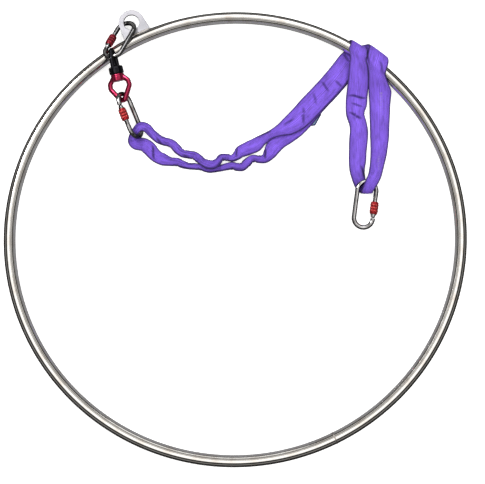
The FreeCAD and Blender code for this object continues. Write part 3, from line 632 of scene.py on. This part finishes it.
# --- Carabiner details --------------------------------------------------------------------------
def make_sleeve(name, pose, material):
    """Barrel-shaped screw sleeve with a raised diamond knurl between two plain collars."""
    rows, columns = 96, 160
    outer, depths = [], []
    for i in range(rows + 1):
        s = 2 * i / rows - 1
        shoulder = (1 - abs(s)) * SLEEVE_HALF
        base = SLEEVE_RADIUS - (SLEEVE_RADIUS - SLEEVE_END_RADIUS) * max(0.0, 1 - shoulder / 2.2) ** 2
        collar = 0.35 * math.exp(-((abs(s) - 0.8) / 0.025) ** 2)
        knurling = smoothstep((0.72 - abs(s)) * 12)
        ring = []
        for k in range(columns):
            turn = 2 * math.pi * k / columns
            diamonds = math.sin(7 * turn + 6.5 * s) * math.sin(7 * turn - 6.5 * s)
            radius = base - collar + knurling * 0.7 * max(-0.7, diamonds)
            ring.append((SLEEVE_AT + s * SLEEVE_HALF, radius, turn))
            # How deep each point lies; the material paints the deeper ones darker, as painted shade.
            depths.append(0.5 + 0.5 * knurling * diamonds - collar)
        outer.append(ring)
    inner = [[(end, SLEEVE_BORE, turn) for _, _, turn in outer[0]]
             for end in (SLEEVE_AT + SLEEVE_HALF, SLEEVE_AT - SLEEVE_HALF)]
    verts = [(x, GATE_LINE + r * math.cos(turn), r * math.sin(turn))
             for ring in outer + inner for x, r, turn in ring]
    faces = grid_faces(rows + 3, columns, close_rows=True)
    sleeve = to_metres(name + "_knurled_sleeve", verts, faces, material, link_matrix(**pose))
    store(sleeve, "knurl", depths + [0.4] * (2 * columns))
    sharpen(sleeve, 50)
    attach(sleeve, name + "_sleeve")
    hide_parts(name + "_carabiner_sleeve")


def sharpen(obj, degrees):
    """Smooth shading that keeps edges sharper than this."""
    mesh = bmesh.new()
    mesh.from_mesh(obj.data)
    bmesh.ops.recalc_face_normals(mesh, faces=mesh.faces)
    for edge in mesh.edges:
        if len(edge.link_faces) == 2:
            edge.smooth = edge.calc_face_angle() < math.radians(degrees)
    mesh.to_mesh(obj.data)
    mesh.free()


def make_rivets(name, pose, frame_body):
    """Domed heads on both ends of the hinge pin and the latch pin."""
    rings, columns = 7, 28
    for place, body, radius, label in ((HINGE_AT, frame_body, 2.3, "hinge"),
                                       (LATCH_AT, name + "_gate", 1.7, "latch")):
        verts, faces = [], []
        for side in (-1, 1):
            first = len(verts)
            for i in range(rings):
                lean = math.pi / 2 * i / (rings - 1)
                for k in range(columns):
                    turn = 2 * math.pi * k / columns
                    verts.append((place + radius * math.cos(lean) * math.cos(turn),
                                  GATE_LINE + radius * math.cos(lean) * math.sin(turn),
                                  side * (4.75 + 0.75 * math.sin(lean))))
            faces += [tuple(first + v for v in face) for face in grid_faces(rings, columns)]
            faces.append(tuple(range(first, first + columns)))
        rivets = to_metres(f"{name}_{label}_rivets", verts, faces, PIN_STEEL, link_matrix(**pose))
        clean(rivets)
        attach(rivets, body)


def make_spring(name, pose):
    """The spring inside a gate."""
    steps, columns = 24 * SPRING_TURNS, 10
    verts = []
    for n in range(steps + 1):
        turn = 2 * math.pi * n * SPRING_TURNS / steps
        radial = Vector((0, math.sin(turn), -math.cos(turn)))
        centre = Vector((SPRING_AT + SPRING_LENGTH * n / steps, GATE_LINE, 0)) + radial * SPRING_RADIUS
        for k in range(columns):
            b = 2 * math.pi * k / columns
            verts.append(centre + (radial * math.cos(b) + Vector((1, 0, 0)) * math.sin(b)) * SPRING_WIRE)
    matrix = link_matrix(**pose)
    spring = to_metres(f"{name}_spring_coil", verts, capped_faces(steps + 1, columns), PIN_STEEL, matrix)
    clean(spring)
    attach(spring, name + "_gate")
    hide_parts(f"{name}_carabiner_gate_spring")
    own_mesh(spring)


def clean(obj):
    """Joins points that coincide and points all faces outwards."""
    distance = 1e-6
    mesh = bmesh.new()
    mesh.from_mesh(obj.data)
    bmesh.ops.remove_doubles(mesh, verts=mesh.verts, dist=distance)
    bmesh.ops.dissolve_degenerate(mesh, edges=mesh.edges, dist=distance)
    bmesh.ops.recalc_face_normals(mesh, faces=mesh.faces)
    mesh.to_mesh(obj.data)
    mesh.free()


# --- Swivel -------------------------------------------------------------------------------------
def rounded_path(points, radii, step=0.8):
    """Points along straight runs joined by tangent arcs, in a link's own plane."""
    points = [Vector((x, y, 0)) for x, y in points]
    path = [points[0]]
    for before, corner, after, radius in zip(points, points[1:], points[2:], radii):
        into, out = (corner - before).normalized(), (after - corner).normalized()
        half_turn = into.angle(out) / 2
        first = corner - into * radius * math.tan(half_turn)
        centre = corner + (out - into).normalized() * radius / math.cos(half_turn)
        spoke = first - centre
        turn = 2 * half_turn * (1 if into.cross(out).z > 0 else -1)
        count = max(int(abs(turn) * radius / step), 4)
        path += [centre + Matrix.Rotation(turn * i / count, 3, "Z") @ spoke for i in range(count + 1)]
    return path + [points[-1]]


def bar_along(path, wide, thick):
    """A closed bar with a rounded section; wide and thick give its half sizes at a share of its length."""
    columns = 32
    lengths = [0.0]
    for a, b in zip(path, path[1:]):
        lengths.append(lengths[-1] + (b - a).length)
    verts = []
    for i, point in enumerate(path):
        share = lengths[i] / lengths[-1]
        tangent = (path[min(i + 1, len(path) - 1)] - path[max(i - 1, 0)]).normalized()
        side = Vector((-tangent.y, tangent.x, 0))
        for k in range(columns):
            turn = 2 * math.pi * k / columns
            c, s = math.cos(turn), math.sin(turn)
            across = math.copysign(abs(c) ** 0.85, c) * wide(share)
            up = math.copysign(abs(s) ** 0.85, s) * thick(share)
            verts.append(point + side * across + Vector((0, 0, up)))
    return verts, capped_faces(len(path), columns)


def turned(profile, columns=96):
    """A solid of revolution about the link's X axis, from x and radius pairs."""
    verts = [(x, r * math.cos(2 * math.pi * k / columns), r * math.sin(2 * math.pi * k / columns))
             for x, r in profile for k in range(columns)]
    return verts, capped_faces(len(profile), columns)


FORGING_VOXEL, FORGING_SMOOTHING = 0.55, 5


def forged(name, shapes, pose, material):
    """Several shapes grown together into one forging, with soft joins."""
    verts, faces = [], []
    for more, polygons in shapes:
        first = len(verts)
        verts += more
        faces += [tuple(first + k for k in face) for face in polygons]
    obj = to_metres(name, verts, faces, material, link_matrix(**pose))
    bpy.context.view_layer.objects.active = obj
    remesh = obj.modifiers.new("join", "REMESH")
    remesh.mode = "VOXEL"
    remesh.voxel_size = FORGING_VOXEL * MM
    remesh.use_smooth_shade = True
    soften = obj.modifiers.new("soften", "SMOOTH")
    soften.factor, soften.iterations = 0.5, FORGING_SMOOTHING
    depsgraph = bpy.context.evaluated_depsgraph_get()
    mesh = bpy.data.meshes.new_from_object(obj.evaluated_get(depsgraph))
    obj.modifiers.clear()
    obj.data = mesh
    return obj


def make_swivel():
    """The black eye and the crimson bow, each with the round body at its root."""
    arch = rounded_path([(46, -11), (23, -11.5), (4, -4), (4, 4), (23, 11.5), (46, 11)], [14, 5, 5, 14])
    hub = turned([(40.3, 11.5), (40.9, 13.4), (42.4, 15.1), (44.5, 15.5), (54.6, 15.5), (56.2, 15.2),
                  (57.0, 14.4)])

    def eye_half(share):
        return 4.0 + smoothstep((abs(2 * share - 1) - 0.25) / 0.5)

    eye = forged("swivel_eye", [bar_along(arch, eye_half, eye_half), hub], SWIVEL_EYE, BLACK)
    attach(eye, "hoop")
    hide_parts("swivel_top_eye")

    half = [(62, -8.6), (75.5, -21.6), (86, -22.6), (113.8, -4.6)]
    path = rounded_path(half + [(x, -y) for x, y in half[::-1]], [6, 6, 4.4, 4.4, 6, 6])
    collar = turned([(57.6, 12.9), (58.2, 14.2), (59.6, 14.5), (61.0, 14.5), (61.6, 14.1), (62.2, 14.1),
                     (62.8, 14.5), (70.6, 14.5), (72.2, 14.0), (73.0, 12.9)])

    def tip(share):
        return math.exp(-((share - 0.5) / 0.13) ** 2)

    def bow_wide(share):
        return 5.3 + 0.3 * tip(share) + 0.3 * abs(2 * share - 1) ** 4

    def bow_thick(share):
        return 4.4 + 1.6 * tip(share)

    bow = forged("swivel_bow", [bar_along(path, bow_wide, bow_thick), collar], SWIVEL_BOW, CRIMSON)
    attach(bow, "swivel_lower")
    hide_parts("swivel_bottom_bow")


# --- Sling --------------------------------------------------------------------------------------
def wrap_rows(rows):
    """Turns rows round the tube into x, y, z, width, thickness and heading."""
    result = []
    for hoop_angle, tube_angle, distance, width, thickness in rows:
        a, b = math.radians(hoop_angle), math.radians(tube_angle)
        reach = HOOP_RADIUS + distance * math.sin(b)
        point = HOOP_PLACE @ Vector((reach * math.cos(a), reach * math.sin(a), -distance * math.cos(b)))
        result.append((point.x, point.y, point.z, width, thickness, hoop_angle - 90))
    return result


def sections_along(rows):
    """Evenly spaced sections along smooth lines through the rows, and the length of the whole.

    Each is its distance from the start, centre, width axis, thickness axis, width, thickness and the
    way that the tube bends there.
    """
    points = [Vector(row[:3]) for row in rows]
    table = []
    for i, row in enumerate(rows):
        tangent = points[min(i + 1, len(rows) - 1)] - points[max(i - 1, 0)]
        if len(row) > 5:
            across = Vector((math.cos(math.radians(row[5])), math.sin(math.radians(row[5])), 0))
        else:
            across = tangent.cross(Vector((0, 0, 1))).normalized()
        if table and across.dot(Vector(table[-1][5:8])) < 0:
            across = -across
        table.append(tuple(row[:5]) + tuple(across))
    fine = [catmull_rom(table, n / FINE_STEPS) for n in range((len(rows) - 1) * FINE_STEPS + 1)]
    lengths = [0.0]
    for a, b in zip(fine, fine[1:]):
        lengths.append(lengths[-1] + (Vector(b[:3]) - Vector(a[:3])).length)
    count = round(lengths[-1] / STEP)
    even, j = [], 0
    for n in range(count + 1):
        goal = lengths[-1] * n / count
        while j < len(fine) - 2 and lengths[j + 1] < goal:
            j += 1
        share = (goal - lengths[j]) / (lengths[j + 1] - lengths[j])
        even.append([a + (b - a) * share for a, b in zip(fine[j], fine[j + 1])])
    places = [Vector(row[:3]) for row in even]
    sections = []
    for n, row in enumerate(even):
        tangent = (places[min(n + 1, count)] - places[max(n - 1, 0)]).normalized()
        across = Vector(row[5:8]).normalized()
        ends = places[max(n - BEND_REACH, 0)] + places[min(n + BEND_REACH, count)]
        bend = (ends - 2 * places[n]) / (BEND_REACH * STEP) ** 2
        sections.append((lengths[-1] * n / count, places[n], across, tangent.cross(across).normalized(),
                         row[3], row[4], bend))
    return sections, lengths[-1]


def crease_depth(point):
    """How far a point on the upper side sinks into the sharp folds near it."""
    depth = 0.0
    for x, y, heading, half_length, fold, half_width in CREASES:
        dx, dy = point.x - x, point.y - y
        if abs(dx) > CREASE_REACH or abs(dy) > CREASE_REACH:
            continue
        c, s = math.cos(math.radians(heading)), math.sin(math.radians(heading))
        along, beside = dx * c + dy * s, -dx * s + dy * c
        beside += 1.2 * math.sin(along * 0.16)
        fade = smoothstep(1.25 - abs(along) / half_length)
        depth += fade * fold * (math.exp(-(beside / half_width) ** 2)
                                - 0.45 * math.exp(-((abs(beside) - 2.2 * half_width) / half_width) ** 2))
    return depth


def stitching(point):
    """How much of a point's colour is thread, along the seam."""
    (x0, y0), (x1, y1) = SEAM
    share = (point.y - y0) / (y1 - y0)
    if not 0 < share < 1:
        return 0.0
    beside = point.x - (x0 + (x1 - x0) * share)
    return 0.75 * math.exp(-(beside / 1.1) ** 2) * (0.6 + 0.4 * math.sin(point.y * 1.05))


def cloth_tube(name, rows, seed):
    """The woven tube with soft lengthwise folds, puckers inside its bends and sharp creases."""
    sections, length = sections_along(rows)
    verts, uvs = [], []
    kept = {"fold": [], "edge_shade": [], "stitch": []}
    for distance, centre, across, through, width, thickness, bend in sections:
        bunched = smoothstep((30 - width) / 14)
        squareness = 0.62 + 0.2 * bunched
        half_width = width / 2 + FULLNESS
        for k in range(RING_POINTS):
            turn = 2 * math.pi * (k + 0.5) / RING_POINTS
            c, s = math.cos(turn), math.sin(turn)
            x = math.copysign(abs(c) ** squareness, c) * half_width
            z = math.copysign(abs(s) ** squareness, s) * thickness / 2
            outward = (across * (c / width) + through * (s / thickness)).normalized()
            point = centre + across * x + through * z
            folds = noise.noise(Vector((distance / 24, x / 4.0, seed + 4 * s)))
            waves = noise.noise(Vector((distance / 55, x / 14.0, seed + 9 + 2 * s)))
            sink = bunched * 2.6 * max(0.0, folds) ** 0.8 + 0.9 * abs(waves) * (0.4 + bunched)
            pucker = 0.5 + 0.5 * math.sin(distance * 2 * math.pi / PUCKER_LENGTH + 2.5 * folds)
            inside = min(max(0.0, outward.dot(bend)) * 38, 1.6)
            sink += inside * pucker * (0.3 + 0.7 * min(thickness / 9, 1))
            crease = crease_depth(point) * outward.z if outward.z > 0.2 else 0.0
            # Painted shade: how dark the cloth is painted in its creases, sunken folds and puckers, and
            # towards its edges.
            kept["fold"].append(min(max(0.45 * crease + 0.16 * sink, 0.0), 1.0))
            kept["edge_shade"].append(smoothstep(1 - (half_width - abs(x)) / EDGE_SHADE_WIDTH))
            kept["stitch"].append(stitching(point) if outward.z > 0.4 else 0.0)
            verts.append(point - outward * min(sink + crease, thickness * 0.42))
            uvs.append((k / RING_POINTS, distance))
    obj = to_metres(name, verts, capped_faces(len(sections), RING_POINTS), CLOTH)
    for attribute, values in kept.items():
        store(obj, attribute, values)
    layer = obj.data.uv_layers.new(name="weave")
    for polygon in obj.data.polygons:
        corners = [obj.data.loops[i].vertex_index for i in polygon.loop_indices]
        wraps = {v % RING_POINTS for v in corners} == {0, RING_POINTS - 1}
        for i, v in zip(polygon.loop_indices, corners):
            u, distance = uvs[v]
            layer.data[i].uv = (1.0 if wraps and v % RING_POINTS == 0 else u, distance)
    clean(obj)
    return obj, length


def make_label():
    """The label: a folded ribbon under the band, whose far end shows beyond it."""
    middle = sum((Vector((x, y, 0)) for x, y in LABEL_CORNERS), Vector()) / len(LABEL_CORNERS)
    outline = []
    for (ax, ay), (bx, by) in zip(LABEL_CORNERS, LABEL_CORNERS[1:] + LABEL_CORNERS[:1]):
        outline += [Vector((ax + (bx - ax) * n / 12, ay + (by - ay) * n / 12, 0)) for n in range(12)]
    verts, hem = [], []
    for scale, lift, edge in LABEL_RINGS:
        for point in outline:
            place = middle + (point - middle) * scale
            wave = 0.25 * math.sin(place.x * 0.35) + 0.2 * math.sin(place.y * 0.28)
            verts.append(place + Vector((0, 0, LABEL_LOW + wave + LABEL_THICKNESS * lift)))
            hem.append(edge)
    columns, under = len(outline), len(verts)
    for point in outline:
        verts.append(middle + (point - middle) * 0.97 + Vector((0, 0, LABEL_LOW - 0.35)))
        hem.append(1.0)
    faces = grid_faces(len(LABEL_RINGS), columns)
    faces.append(tuple(range(under - columns, under)))
    faces += [(k, (k + 1) % columns, under + (k + 1) % columns, under + k) for k in range(columns)]
    faces.append(tuple(range(under, under + columns)))
    label = to_metres("sling_label_flap", verts, faces, LABEL_CLOTH)
    store(label, "hem", hem)
    clean(label)
    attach(label, "hoop")
    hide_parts("sling_label")
    return label


def make_sling():
    """The two woven tubes, which meet over the hoop, and the label under the upper one."""
    label = make_label()
    left_rows = UPPER_LEG[::-1] + SWIVEL_END[1:-1] + LOWER_LEG
    right_rows = (UPPER_LEG[-1:] + wrap_rows(UPPER_WRAP) + UPPER_DROP + FREE_END[1:-1] + LOWER_DROP[::-1]
                  + wrap_rows(LOWER_WRAP)[::-1] + LOWER_LEG[-1:])
    left, left_length = cloth_tube("sling_to_swivel", left_rows, 3.0)
    right, right_length = cloth_tube("sling_over_hoop", right_rows, 41.0)
    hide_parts("sling_cover_run", "sling_core_run", "sling_cover_swivel_end", "sling_core_swivel_end")
    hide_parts("sling_cover_free_end", "sling_core_free_end")
    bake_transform(left)
    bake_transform(right)


make_camera()
make_stage()
dress_nodes()
make_tube()
make_weld_beads()
# Each sleeve's material carries its dye and painted shade in its grooves.
for link, pose, frame_body, dye_and_groove_shade, dye_slot, plunger_travel in (
        ("tab", TAB_CARABINER, "hoop", DARK_RED, "dark_red_sleeve", 0.12),
        ("sling", SLING_CARABINER, "swivel_lower", RED, "red_sleeve", 0.68),
        ("anchor", ANCHOR_CARABINER, "anchor_carabiner", RED, "red_sleeve", 0.68)):
    make_sleeve(link, pose, dye_and_groove_shade)
    make_rivets(link, pose, frame_body)
    make_spring(link, pose)
make_swivel()
make_sling()
bpy.context.scene.view_settings.view_transform = "Standard"
